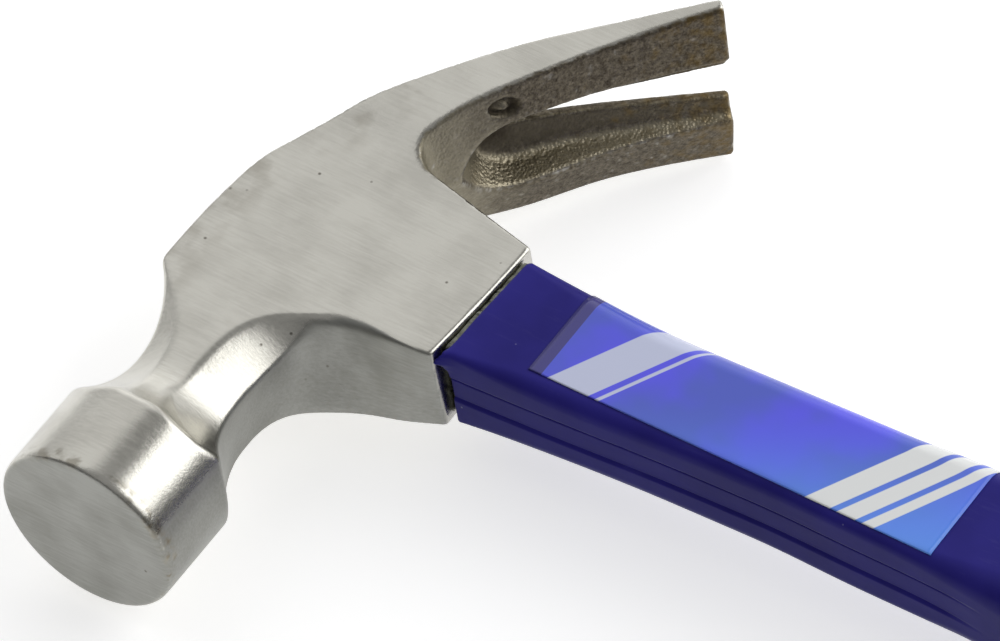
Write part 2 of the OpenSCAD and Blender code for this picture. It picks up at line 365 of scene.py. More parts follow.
# %% [markdown]
# ## The head's shape: poll and neck
# The poll is a turned cylinder. Behind it the neck is hollowed by round sweeps that meet at a waist:
# over, under, along both cheeks, and on four leaning bevels between them. A sweep is the outside of a
# circle, so it is exact in a field. The upper ones have their waist nearer the poll and run out at the
# crown's corner. The lower bevels end more squarely under the cheek, and the underside goes on down the
# skirt in one curve.

# %% Poll and neck
FACE_R = 15.3
FACE_EASE = 1.3
POLL_LEN = 16.0
POLL_EASE = 0.9
WAIST_Y = 30.6
OVER_WAIST_Y = 28.6
RIM_R = 15.6
OVER_R, UNDER_R, SIDE_R = 9.75, 7.8, 8.4
BEVEL_COS, BEVEL_SIN = math.cos(math.radians(33)), math.sin(math.radians(33))
LOW_BEVEL_R, HIDDEN_BEVEL_R, HIGH_BEVEL_R = 7.44, 10.4, 9.5
LOW_BEVEL_END, HIDDEN_BEVEL_END, BEVEL_FULLNESS = 49.6, 44.0, 3.2
BEVEL_BOW, BEVEL_MIDDLE, BEVEL_DRIFT, BEVEL_HALF, BEVEL_EVEN = 0.016, -0.25, 1.18, 6.0, 10.0
UNDER_TWIST, TWIST_AXIS = 0.36, -7.0
CHEEK_Z = 8.2
SKIRT_X = 31.5
CROWN_FRONT = 45.5


def sweep_radius(rise, run):
    """Radius of a circle that starts level and rises this far over this run."""
    return (run * run + rise * rise) / (2 * rise)


def sweep(out, y, waist, rise, run, waist_y=WAIST_Y):
    """How deep a point is in the air of a round hollow that is lowest at the waist; out is from the axis."""
    radius = sweep_radius(rise, run)
    return radius - np.hypot(out - waist - radius, y - waist_y)


def from_poll(out, y, waist, waist_y=WAIST_Y):
    """The part of a hollow between the poll's rim and the waist."""
    return sweep(out, y, waist, RIM_R - waist, waist_y - POLL_LEN, waist_y)


def poll_to_crown(out, y, waist, end):
    """The upper sweeps have their waist nearer the poll and end at the crown's front corner."""
    to_crown = sweep(out, y, waist, end - waist, CROWN_FRONT - OVER_WAIST_Y, OVER_WAIST_Y)
    return np.where(y < OVER_WAIST_Y, from_poll(out, y, waist, OVER_WAIST_Y), to_crown)


def neck_over(x, y):
    return poll_to_crown(-x, y, OVER_R, CROWN_H)


def slanting(x, y):
    """Places along and across a 45 degree slope, so that one curve can run from the neck down the skirt."""
    return (x + y) / math.sqrt(2), (y - x) / math.sqrt(2)


under_profile = smooth_line(*[slanting(x, y) for x, y in (
    (UNDER_R, 26), (UNDER_R, WAIST_Y), (UNDER_R, 33), (8.3, 35.8), (10.9, 40.4), (16.2, 44), (20.3, 46),
    (24.8, 47.6), (31.6, 50.4), (35, 51.8))])


def neck_under(x, y, z):
    """The underside, level from the waist and then down the skirt; ground by hand with a slight twist."""
    along, across = slanting(x, y)
    twist = UNDER_TWIST * smooth_step(along, 29, 41) * smooth_step(along, 59, 43)
    to_skirt = twist * (z - TWIST_AXIS) - off_line(across, under_profile, along)
    return np.where(y < WAIST_Y, from_poll(x, y, UNDER_R), to_skirt)


def low_bevel(x, y, z):
    """The lower bevels end squarely under the cheek, fuller than a circle; the hidden one is shorter."""
    out = np.abs(z) * BEVEL_COS + x * BEVEL_SIN
    across = np.abs(z) * BEVEL_SIN - x * BEVEL_COS
    # Ground freehand, each is a little fuller along its middle, which drifts down the skirt with the bevel
    off_middle = np.clip(across - BEVEL_MIDDLE + BEVEL_DRIFT * (out - LOW_BEVEL_R), -BEVEL_HALF, BEVEL_HALF)
    out = out + BEVEL_BOW * (off_middle**2 - BEVEL_EVEN)
    end = CHEEK_Z * BEVEL_COS + SKIRT_X * BEVEL_SIN
    waist = np.where(z > 0, LOW_BEVEL_R, HIDDEN_BEVEL_R)
    rise = end - waist
    run = np.where(z > 0, LOW_BEVEL_END, HIDDEN_BEVEL_END) - WAIST_Y
    share = np.clip((y - WAIST_Y) / run, 0, 2)
    left = np.clip((end - out) / rise, 0, 4)
    reach = (left**BEVEL_FULLNESS + share**BEVEL_FULLNESS) ** (1 / BEVEL_FULLNESS)
    return np.where(y < WAIST_Y, from_poll(out, y, waist), (1 - reach) * rise)


def high_bevel(x, y, z):
    out = np.abs(z) * BEVEL_COS - x * BEVEL_SIN
    end = CHEEK_Z * BEVEL_COS + CROWN_H * BEVEL_SIN
    return poll_to_crown(out, y, HIGH_BEVEL_R, end)


side_sweep = sweep_radius(RIM_R - SIDE_R, WAIST_Y - POLL_LEN)
print("Radius of the sweeps along the cheeks:", round(side_sweep, 1), "mm")

# %% [markdown]
# ## The head's shape: crown, claw and notch
# The crown runs level over the eye and then curves down into the claw. The two prongs spread sideways
# from the cheeks. Their underside was forged and never ground: dies leave it fuller towards the middle,
# where they meet. A blunt groove runs up its middle, and a narrow V notch, which grips the nail, is cut
# through the groove.

# %% Crown and claw
crown_line = smooth_line((30, -16.19), (45, -16.19), (53, -16.15), (60.3, -15.8), (71.5, -13.8), (77, -11.1),
                         (83.5, -6.8), (95.7, 3.6), (108, 14), (118.6, 25.5), (126, 33.9), (130, 38.4))
under_line = smooth_line((72, 9.0), (78, 6.6), (83.4, 6.3), (88.8, 8.7), (98.7, 15.1), (109.8, 22.5),
                         (124.6, 35.3), (130, 40.6))
half_width = smooth_line((WAIST_Y, SIDE_R), (46, CHEEK_Z), (70, CHEEK_Z), (76, 8.6), (80, 9.5), (86, 12),
                         (94, 14), (110, 15.2), (126, 17.0), (130, 17.4))
SKIRT_REAR = 75.35
REAR_LEAN = 0.21
REAR_BULGE = 0.5
ROOT_FILLET = 5.0
ROOT_BACK = 10.0
DIE_DRAFT = 0.2
TIP_Y, TIP_X = 125.9, 33.8
TIP_LEAN = math.radians(43)
NEAR_BEND, BEND_START, BEND_END = 0.6, 112.0, 128.0
PUNCH_Y, PUNCH_Z, PUNCH_OVAL = 95.4, 10.6, 1.25
PUNCH_DEPTH, BLOB_HEIGHT = 1.0, 0.9
MOUTH_SKEW, MOUTH_RUN = 1.7, 25.0
EYE_Y, EYE_LEN, EYE_W = 62.8, 18.0, 10.0


def unbent(y, z):
    """Places across the head as if the upper prong were straight; its tip is bent outwards a little."""
    return np.where(z > 0, np.maximum(z - NEAR_BEND * smooth_step(y, BEND_START, BEND_END), 0), z)


def head_side(y, z):
    """Both sides of the head: the neck's sweeps, the flat cheeks and the spread of the prongs."""
    beside = off_line(np.abs(unbent(y, z)), half_width, np.maximum(y, WAIST_Y))
    return np.where(y < WAIST_Y, from_poll(np.abs(z), y, SIDE_R), beside)


def above_crown(x, y):
    return -off_line(x, crown_line, y)


def off_punch(y, z):
    return np.hypot((y - PUNCH_Y) / PUNCH_OVAL, z - PUNCH_Z)


def punch_mark(y, z):
    """A small round dimple with a blob left in it, as a hardness test leaves on one prong."""
    away = off_punch(y, z)
    dimple = PUNCH_DEPTH * smooth_step(away, 1.9, 1.2)
    return dimple - BLOB_HEIGHT * smooth_step(away, 1.15, 0.2)


def under_prongs(x, y, z):
    fuller = DIE_DRAFT * np.maximum(half_width(y) - np.abs(unbent(y, z)), 0)
    return off_line(x, under_line, y) - fuller + punch_mark(y, z)


def under_claw(x, y, z):
    """Underside of the prongs and the back of the skirt, with a fillet between them."""
    bulge = REAR_BULGE * np.clip(1 - (z / CHEEK_Z) ** 2, 0, 1)
    behind = y - SKIRT_REAR - REAR_LEAN * (SKIRT_X - x) - bulge
    return -smooth_max(-under_prongs(x, y, z), -behind, ROOT_FILLET)


def mouth(x, y, z):
    """The skirt's mouth, ground off a little towards the front corner of the upper cheek."""
    skew = MOUTH_SKEW * np.clip((SKIRT_REAR - y) / MOUTH_RUN, 0, 1) * np.clip(0.5 + z / (2 * CHEEK_Z), 0, 1)
    return np.where(y < SKIRT_REAR + ROOT_BACK, x - SKIRT_X + skew, -SKIRT_X)


def slot_section(length, width):
    """Section of a slot with round ends, on the eye's axis, negative inside."""
    return lambda y, z: np.hypot(np.maximum(np.abs(y - EYE_Y) - (length - width) / 2, 0), z) - width / 2


eye_slot = slot_section(EYE_LEN, EYE_W)
print("Claw at its tips: half width", round(float(half_width(TIP_Y)), 1), "mm")

# %% Nail notch and groove
NOTCH_APEX = 95.4
NOTCH_SPREAD = 0.115
NOTCH_LIP = 1.5
GROOVE_RISE = 0.3
GROOVE_R = 6.35
GROOVE_END = 102.0
GROOVE_DEPTH = 9.0
GROOVE_BLUNT = 3.0
GROOVE_FILLET = 1.6
WALL_DRAFT = 0.2
END_DRAFT = 0.7


def nail_notch(y, z):
    return (np.abs(unbent(y, z)) - NOTCH_SPREAD * (y - NOTCH_APEX)) / math.hypot(1, NOTCH_SPREAD)


def nail_groove(x, y, z):
    """Air of the groove: its floor leaves a lip over the notch, and its walls and blunt end lean outwards."""
    from_middle = np.abs(unbent(y, z))
    off_notch = np.maximum(from_middle - np.maximum(NOTCH_SPREAD * (y - NOTCH_APEX), 0), 0)
    above_floor = -above_crown(x, y) - NOTCH_LIP - GROOVE_RISE * off_notch
    lean = np.clip(above_floor, 0, GROOVE_DEPTH)
    before_end = np.maximum(GROOVE_END - y - END_DRAFT * lean, 0)
    outwards = (before_end**GROOVE_BLUNT + from_middle**GROOVE_BLUNT) ** (1 / GROOVE_BLUNT)
    wall = outwards - GROOVE_R - WALL_DRAFT * lean
    return smooth_max(wall, -above_floor, GROOVE_FILLET)


print("Notch at the tips:", round(2 * NOTCH_SPREAD * (TIP_Y - NOTCH_APEX), 1), "mm wide")


# %% The whole head as one field
def head_field(x, y, z):
    """The head: its sides, cut in turn by each limit, with the softness of that edge in mm."""
    # The edges of the underside are softest halfway down the skirt
    under_soft = 0.8 + smooth_step(x, 5, 15) * smooth_step(x, 28, 16)
    limits = [
        (neck_over(x, y), 0.9),
        (neck_under(x, y, z), under_soft),
        (low_bevel(x, y, z), 0.5),
        (high_bevel(x, y, z), 0.5),
        (above_crown(x, y), 0.5),
        (under_claw(x, y, z), 0.7),
        (mouth(x, y, z), 0.7),
        ((y - TIP_Y) * math.cos(TIP_LEAN) + (x - TIP_X) * math.sin(TIP_LEAN), 0.6),
        (np.where(y < WAIST_Y, np.hypot(x, z) - FACE_R, -FACE_R), POLL_EASE),
        (-y, FACE_EASE),
        (-eye_slot(y, z), 0.9),
        (-nail_groove(x, y, z), 0.9),
        (-nail_notch(y, z), 0.5),
    ]
    steel = head_side(y, z)
    for limit, softness in limits:
        steel = smooth_max(steel, limit, softness)
    return steel


HEAD_LOW, HEAD_HIGH, HEAD_CELL = (-18, -1.5, -19), (38, 128, 19), 0.45
head_points, head_quads, head_normals = grow(head_field, HEAD_LOW, HEAD_HIGH, HEAD_CELL)
print("Head surface in mm: from", head_points.min(0).round(1), "to", head_points.max(0).round(1))

# %% [markdown]
# ## Steel, ground outside and as forged under the claw
# A drop forging comes out of the dies dark and grainy. The cheeks, neck, poll and crown are then ground
# on a belt, which leaves pale satin steel, and the inside of the claw is left alone. The belt stops
# raggedly at the edge. So each vertex keeps a number that says how far it is from the forged surfaces,
# broken up by noise, and the material mixes its two finishes by it. The grain of the groove is also real:
# it moves the vertices.


# %% Marks kept on the mesh
def cloudy(size, seed):
    """Noise of about -1 to 1 at the head's vertices, in patches of about this size in mm."""
    shift = Vector((seed, 2 * seed, 3 * seed))
    return np.array([noise.fractal(Vector(p) / size + shift, 1.0, 2.0, 4) for p in head_points])


x, y, z = head_points.T
normal_x, normal_y, _ = head_normals.T
in_groove = smooth_step(-nail_groove(x, y, z), -0.4, -0.1)
off_forged = np.maximum(np.maximum(under_claw(x, y, z), -nail_groove(x, y, z)), -nail_notch(y, z))
forged = smooth_step(off_forged + 0.3 * cloudy(1.2, 1), -0.55, -0.1)
forged = np.maximum(forged, in_groove)
# The back of the skirt was ground too, up to the claw's root
off_root = under_prongs(x, y, z) + 1.5 * cloudy(3, 2)
forged *= 1 - smooth_step(off_root, 4, 7) * (y < SKIRT_REAR + ROOT_BACK)
# In the groove, the faces that turn outwards to the underside get a dark tone, which is painted shade; the
# upper part of its end is smooth, and the walls are grainiest, with a lighter tone that is painted light over
# their real grain
faces_out = normal_x - 0.6 * normal_y + 0.12 * cloudy(0.8, 10)
floor = 0.85 * in_groove * smooth_step(faces_out, 0.6, 1.1)
smooth_end = in_groove * (1 - floor) * smooth_step(y, 101.5, 99.5) * smooth_step(z, -4.5, -1.5)
grainy_and_painted_light = in_groove * (1 - floor) - smooth_end
away = off_punch(y, z)
punched = forged * (x > 0) * smooth_step(away, 0.7, 1.1) * smooth_step(away, 1.9, 1.3)
# The punch mark's dimple takes the same dark tone, as painted shade in its hollow
floor = np.maximum(floor, 0.9 * punched)
near_root = forged * smooth_step(y + 3 * cloudy(4, 7), 100, 84) * (1 - floor)
near_root = np.maximum(near_root, smooth_end)
print("As-forged share of the head:", round(float(forged.mean()), 3))

# %% Wear, dirt and grain
# The striking face, the underside of the neck, the skirt's front and the poll's side towards the handle are a
# little rougher, and their darker tone is painted shade for the dimmer floor that they mirror
on_skirt = smooth_step(x, 11, 14) * smooth_step(-normal_y, 0.3, 0.5) * (y < EYE_Y)
on_underside = np.maximum(smooth_step(neck_under(x, y, z), -0.5, -0.15), on_skirt)
on_face = smooth_step(-normal_y, 0.6, 0.9) * (y < 1.5)
under_poll = smooth_step(normal_x, 0.84, 0.93) * (y < WAIST_Y)
painted_shade_and_dull = np.maximum(np.maximum(on_underside, on_face), under_poll)
at_rim = smooth_step(np.hypot(x, z) - np.abs(y - 1), 13.2, 14.6)
# Rust shows towards the claw's tips and where the face's rim turns towards the handle
rust = 0.6 * smooth_step(y + 12 * cloudy(1.6, 3), 114, 130) * forged
handle_side = 0.9 * x + 0.43 * z + 6 * cloudy(1.1, 4)
rust = np.maximum(rust, 0.6 * at_rim * smooth_step(handle_side, 15, 19))
# Grime has settled along the face's rim and in patches near the crown
grime = 0.9 * at_rim * smooth_step(cloudy(1.6, 8), 0.0, 0.5)
near_crown = smooth_step(above_crown(x, y), -9, -1) * smooth_step(z, 6, 8) * (y < 90)
grime = np.maximum(grime, 0.55 * near_crown * smooth_step(cloudy(5, 9), -0.1, 0.6))
WALL_GRAIN, FORGED_GRAIN = 0.07, 0.02
grain = grainy_and_painted_light * WALL_GRAIN * cloudy(1.1, 5)
grain += forged * FORGED_GRAIN * cloudy(2.0, 6)
head_points += grain[:, None] * head_normals
marks = {"forged": forged, "rust": rust, "grime": grime, "painted_shade_and_dull": painted_shade_and_dull, "grainy_and_painted_light": grainy_and_painted_light,
         "near_root": near_root, "floor": floor}
print("Marks:", list(marks))


# %% Specks
def specks(tree, place, spacing, reach, strength, rarity):
    """Small round specks on a pattern of cells about this many mm apart, in few of which there is one."""
    spread = {"Vector": place, "Scale": per_mm(spacing)}
    away = add_node(tree, "TexVoronoi", spread, out="Distance")
    number = add_node(tree, "SeparateColor", {0: add_node(tree, "TexVoronoi", spread, out="Color")})
    near = add_node(tree, "MapRange", {
        "Value": away, "From Min": 0.04, "From Max": reach, "To Min": strength, "To Max": 0.0})
    chosen = add_node(tree, "Math", {0: number, 1: rarity}, operation="GREATER_THAN")
    return add_node(tree, "Math", {0: near, 1: chosen}, operation="MULTIPLY")


# %% Steel material
# Belt-ground forged steel: a satin mirror with faint clouds and pits; its scale is dark, dull and brown
steel, tree, shader, place = new_material("belt_ground_and_forged_steel")
share = {name: add_node(tree, "Attribute", out="Fac", attribute_name=name) for name in marks}
clouds = add_node(tree, "TexNoise", {"Vector": place, "Scale": per_mm(9), "Detail": 4})
# The belt ran across the head; its marks are about 0.05 mm apart and are drawn at 0.45 mm so that they show
belt = add_node(tree, "Mapping", {"Vector": place, "Scale": (0.07, 1, 1)})
grit = add_node(tree, "TexNoise", {"Vector": belt, "Scale": per_mm(0.45), "Detail": 5, "Roughness": 0.65})
scale = add_node(tree, "TexNoise", {"Vector": place, "Scale": per_mm(0.8), "Detail": 8, "Roughness": 0.75})
lumps = add_node(tree, "TexVoronoi", {
    "Vector": place, "Scale": per_mm(0.45)}, feature="SMOOTH_F1", out="Distance")
mottle = add_node(tree, "Math", {0: grit, 1: 0.7, 2: clouds}, operation="MULTIPLY_ADD")
ground_tone = two_tone(tree, mottle, 0.64, 1.0, "#bbb9b1", "#cbc9c1")
forged_tone = two_tone(tree, scale, 0.34, 0.66, "#443d33", "#776f60")
# The groove floor's dark tone is painted shade, and the lighter tone of the grainy walls is painted light
# over their real grain
for mark, colour in (("near_root", "#8f8978"), ("floor", "#39332a"), ("grainy_and_painted_light", "#a09884")):
    forged_tone = add_node(tree, "Mix", {
        "Factor": share[mark], "A": forged_tone, "B": linear(colour)}, data_type="RGBA")
# The darker tone of those faces is painted shade
painted_shade_tone = two_tone(tree, mottle, 0.64, 1.0, "#8a8a84", "#9c9c97")
tone = add_node(tree, "Mix", {"Factor": share["painted_shade_and_dull"], "A": ground_tone, "B": painted_shade_tone}, data_type="RGBA")
pits = specks(tree, place, 2.6, 0.13, 1.0, 0.9)
for factor, over_it in ((pits, linear("#6d6961")), (share["grime"], linear("#99958a")),
                        (share["forged"], forged_tone), (share["rust"], linear("#6f5a2c"))):
    tone = add_node(tree, "Mix", {"Factor": factor, "A": tone, "B": over_it}, data_type="RGBA")
gloss = add_node(tree, "MapRange", {
    "Value": grit, "From Min": 0.3, "From Max": 0.7, "To Min": 0.2, "To Max": 0.25})
scaly = add_node(tree, "MapRange", {
    "Value": scale, "From Min": 0.3, "From Max": 0.7, "To Min": 0.6, "To Max": 0.42})
for mark, rough in (("painted_shade_and_dull", 0.4), ("forged", scaly), ("grainy_and_painted_light", 0.38)):
    gloss = add_node(tree, "Mix", {"Factor": share[mark], "A": gloss, "B": rough})
# Depth of the relief in mm: hardly any where it was ground, far more where the scale is
depth = add_node(tree, "Mix", {"Factor": share["forged"], "A": 0.0, "B": 0.08})
depth = add_node(tree, "Mix", {"Factor": share["grainy_and_painted_light"], "A": depth, "B": 0.14})
relief = add_node(tree, "Math", {0: lumps, 1: depth}, operation="MULTIPLY")
relief = add_node(tree, "Math", {0: grit, 1: 0.035, 2: relief}, operation="MULTIPLY_ADD")
bump = add_node(tree, "Bump", {"Height": relief, "Distance": MM})
feed(tree, shader, {"Base Color": tone, "Metallic": 1, "Roughness": gloss, "Normal": bump})
head = new_piece("hammer_head_forging", head_points, head_quads, "hammer_head", steel)
for name, values in marks.items():
    head.data.attributes.new(name, "FLOAT", "POINT").data.foreach_set("value", values)

# %% [markdown]
# ## Lofted handle pieces
# The handle is long and its section changes slowly, so a loft suits it: rings of points along x, joined
# by quads. Each ring is found by shooting rays outwards from the handle's axis to where they leave the
# section. All rings then have their points at the same angles, and a loft never twists.


# %% Sections and lofts
def rounded_box(y, z, half_w, half_t, radius):
    """Distance outside a rectangle with round corners, centred on the axis."""
    past_y = np.abs(y) - half_w + radius
    past_z = np.abs(z) - half_t + radius
    corner = np.hypot(np.maximum(past_y, 0), np.maximum(past_z, 0))
    return corner + np.minimum(np.maximum(past_y, past_z), 0) - radius


def outline(section, middle_y, angles):
    """Points in y and z where rays from the middle leave a section that is negative inside, by halving."""
    longest, halvings = 40.0, 24
    near = np.zeros(len(angles))
    far = np.full(len(angles), longest)
    for _ in range(halvings):
        half = (near + far) / 2
        inside = section(middle_y + half * np.cos(angles), half * np.sin(angles)) < 0
        near = np.where(inside, half, near)
        far = np.where(inside, far, half)
    return np.stack((middle_y + near * np.cos(angles), near * np.sin(angles)), axis=1)


def ring(x, line):
    """A ring of points at a place along the handle."""
    return np.column_stack((np.broadcast_to(x, len(line)), line))


def loft(rings, ends):
    """Points and faces through rings; the ends are closed by fans, or the last ring joins the first."""
    count, size = len(rings), len(rings[0])
    points = np.concatenate(rings)
    around = np.arange(size)
    after = (around + 1) % size
    faces = []
    for i in range(count - (ends == "fans")):
        here, there = i * size, (i + 1) % count * size
        faces += np.stack((here + around, here + after, there + after, there + around), axis=1).tolist()
    if ends == "fans":
        last = (count - 1) * size
        points = np.concatenate((points, [rings[0].mean(0), rings[-1].mean(0)]))
        faces += [(len(points) - 2, b, a) for a, b in zip(around, after)]
        faces += [(last + a, last + b, len(points) - 1) for a, b in zip(around, after)]
    return points, faces


AROUND = np.linspace(0, 2 * math.pi, 480, endpoint=False)
SHAFT_Y = 64.2
CORE_LEN, CORE_T, CORE_END = 13.0, 8.0, 292.0
core_line = outline(slot_section(CORE_LEN, CORE_T), SHAFT_Y, AROUND)
print("Core section in mm:", np.ptp(core_line, axis=0).round(2))

# %% [markdown]
# ## Blue jacket
# The jacket is polypropylene, injection moulded round the fibreglass. Its wide sides are flat. The front
# tapers over the first 50 mm, the corners are nearly sharp at the mouth and softer below, and a shallow
# channel with a fine step on each side runs down both narrow sides until the jacket swells towards the
# grip. At the mouth, a little plastic has squeezed out over the skirt's corner.

# %% Jacket shape
MOUTH_X, GRIP_X, TANG_END = 32.3, 137.8, 294.4
TANG_HALF_W, TANG_HALF_T, TANG_ROUND = 10.1, 7.1, 5.0
HALF_T = 7.9
jacket_front = smooth_line((32, 51.5), (40, 51.9), (51, 52.5), (57, 52.9), (67, 53.55), (78, 54.05),
                           (86, 54.3), (100, 54.2), (114, 54.1), (122, 53.8), (130, 53.0), (138, 51.7))
jacket_rear = smooth_line((32, 74.0), (45, 74.3), (60, 74.2), (75, 74.4), (90, 74.95), (96, 75.2),
                          (101, 75.4), (106, 75.85), (112, 76.2), (122, 76.5), (130, 76.6), (138, 76.7))
jacket_half_t = smooth_line((32, HALF_T), (80, HALF_T), (114, HALF_T), (122, 8.2), (130, 8.9), (138, 9.5))
front_round = smooth_line((32, 0.7), (38, 1.7), (46, 2.5), (80, 2.5), (114, 2.5), (124, 4.0), (138, 6.0))
rear_round = smooth_line((32, 1.6), (38, 3.0), (46, 4.5), (80, 4.5), (114, 4.5), (124, 5.0), (138, 6.0))
CHANNEL_HALF, CHANNEL_DEPTH, CHANNEL_LINE = 2.2, 0.3, 0.35


def channel(x, z):
    """Depth of the channel: a shallow floor, with a finer and deeper line along each of its edges."""
    from_edge = np.abs(np.abs(z) - CHANNEL_HALF)
    floor = CHANNEL_DEPTH * smooth_step(np.abs(z), CHANNEL_HALF + 0.1, CHANNEL_HALF - 0.25)
    line = CHANNEL_LINE * smooth_step(from_edge, 0.4, 0.05)
    return (floor + line) * smooth_step(x, 126, 114)


def jacket_section(x, inset=0.0):
    """The jacket's section at a place along the handle, drawn in by an inset; negative inside."""
    front, rear = float(jacket_front(x)), float(jacket_rear(x))
    middle, half_w = (front + rear) / 2, (rear - front) / 2
    half_t, soft_front, soft_rear = float(jacket_half_t(x)), float(front_round(x)), float(rear_round(x))

    def section(y, z):
        on_side = smooth_step(np.abs(y - middle) / half_w, 0.7, 0.9)
        radius = np.where(y < middle, soft_front, soft_rear)
        return rounded_box(y - middle, z, half_w - inset, half_t - inset, radius) + channel(x, z) * on_side

    return section


def tang_section(y, z):
    return rounded_box(y - SHAFT_Y, z, TANG_HALF_W, TANG_HALF_T, TANG_ROUND)


mouth_w = float(jacket_rear(MOUTH_X) - jacket_front(MOUTH_X))
print("Jacket at its mouth:", round(mouth_w, 1), "by", 2 * HALF_T, "mm")

# %% Jacket mesh
bore = [ring(x, core_line) for x in (CORE_END, 200, 120, 60, MOUTH_X + 0.5)]
# At the mouth the rim is rounded, stands back a little in front, and carries some flash at one corner
SET_BACK = 0.25
FLASH_AT, FLASH_WIDTH = math.radians(154), math.radians(6)
FLASH_OUT, FLASH_UP, FLASH_RUN = 1.2, 1.3, 1.6
SKEW_SHARE = 0.85
set_back = SET_BACK * smooth_step(-np.cos(AROUND), 0.5, 0.9)
at_corner = np.exp(-((AROUND - FLASH_AT) / FLASH_WIDTH) ** 2)
flash = at_corner * (1.0 + 0.5 * np.array([noise.noise((30 * a, 0.3, 0.7)) for a in AROUND]))
rims = []
for back, inset in ((0.0, 0.55), (0.06, 0.3), (0.2, 0.1), (0.5, 0.0), (1.0, 0.0), (FLASH_RUN, 0.0)):
    line = outline(jacket_section(MOUTH_X + back, inset), SHAFT_Y, AROUND)
    fade = max(1 - back / FLASH_RUN, 0)
    line = line + FLASH_OUT * fade * flash[:, None] * np.array((-1, 0.1))
    skew = SKEW_SHARE * mouth(SKIRT_X, *line.T)
    rims.append(ring(MOUTH_X + back - skew + fade * (set_back - FLASH_UP * flash), line))
# The rings stand closer where the section changes faster
spans = ((35, 48, 1.0), (48, 112, 2.0), (112, GRIP_X, 0.8))
stations = np.concatenate([np.arange(*span) for span in spans] + [[GRIP_X]])
sides = [ring(x, outline(jacket_section(x), SHAFT_Y, AROUND)) for x in stations]
tang_line = outline(tang_section, SHAFT_Y, AROUND)
tang = [ring(x, tang_line) for x in (GRIP_X, 180, 220, 260, TANG_END)]
jacket_points, jacket_faces = loft(bore + rims + sides + tang, "fans")
print("Jacket rings:", len(bore + rims + sides + tang))

# %% Jacket material
# Moulded polypropylene: deep violet blue, glossy with a faint orange peel, soft scuffs and some dust
jacket_plastic, tree, shader, place = new_material("moulded_blue_polypropylene")
clouds = add_node(tree, "TexNoise", {"Vector": place, "Scale": per_mm(16), "Detail": 3})
tone = two_tone(tree, clouds, 0.35, 0.65, "#252076", "#2d2887")
stretch = add_node(tree, "Mapping", {"Vector": place, "Scale": (0.12, 1, 1)})
rubbing = add_node(tree, "TexNoise", {"Vector": stretch, "Scale": per_mm(1.2), "Detail": 6, "Roughness": 0.7})
scuff = add_node(tree, "MapRange", {"Value": rubbing, "From Min": 0.58, "From Max": 0.8, "To Max": 0.2})
dust = specks(tree, place, 3.2, 0.09, 0.8, 0.86)
for factor, over_it in ((scuff, "#5a5896"), (dust, "#a9a8c8")):
    tone = add_node(tree, "Mix", {"Factor": factor, "A": tone, "B": linear(over_it)}, data_type="RGBA")
gloss = add_node(tree, "MapRange", {
    "Value": rubbing, "From Min": 0.3, "From Max": 0.75, "To Min": 0.3, "To Max": 0.46})
peel = add_node(tree, "TexNoise", {"Vector": place, "Scale": per_mm(0.9), "Detail": 2})
bump = add_node(tree, "Bump", {"Height": peel, "Distance": 0.012 * MM})
feed(tree, shader, {"Base Color": tone, "Roughness": gloss, "IOR": 1.49,
                    "Specular IOR Level": 0.12, "Normal": bump})
new_piece("moulded_handle_jacket", jacket_points, jacket_faces,
          "handle_jacket", jacket_plastic)

# %% [markdown]
# ## Label
# The label is a printed plastic film. It lies on the wide side and wraps over the rear corner, so it is
# made from the jacket's own section: the same rays, a film's thickness further out. Each vertex keeps its
# place on the flat label, along and across in millimetres, and the print is drawn there: a clear end, a
# pale slanting band, a blue ground with soft bands of light, and three white bars.

# %% Label film
LABEL_START, LABEL_END = 44.0, 115.1
FILM_LOW, FILM_HIGH = 0.03, 0.16
# Rays from the label's front edge over the wide side, and closer ones round the rear corner
over = np.radians(np.concatenate((np.linspace(137.9, 60, 60), np.linspace(58, 24, 60))))
label_x = np.linspace(LABEL_START, LABEL_END, 72)


def film_side(lift):
    """Rows of points on the film, this far above the jacket."""
    return np.array([ring(x, outline(jacket_section(x, -lift), SHAFT_Y, over)) for x in label_x])


top, under = film_side(FILM_HIGH), film_side(FILM_LOW)
across = np.concatenate(([0], np.cumsum(np.linalg.norm(np.diff(top[0], axis=0), axis=1))))
rows, columns = len(label_x), len(over)
number = np.arange(2 * rows * columns).reshape(2, rows, columns)
label_faces = []
for i, j in itertools.product(range(rows - 1), range(columns - 1)):
    a, b, c, d = number[:, i, j], number[:, i + 1, j], number[:, i + 1, j + 1], number[:, i, j + 1]
    label_faces += [(a[0], b[0], c[0], d[0]), (a[1], d[1], c[1], b[1])]
border = np.concatenate((number[0, :-1, 0], number[0, -1, :-1], number[0, :0:-1, -1], number[0, 0, :0:-1]))
for a, b in zip(border, np.roll(border, -1)):
    label_faces.append((b, a, a + rows * columns, b + rows * columns))
label_points = np.concatenate((top.reshape(-1, 3), under.reshape(-1, 3)))
print("Label:", round(LABEL_END - LABEL_START, 1), "mm long,", round(float(across[-1]), 1), "mm round")

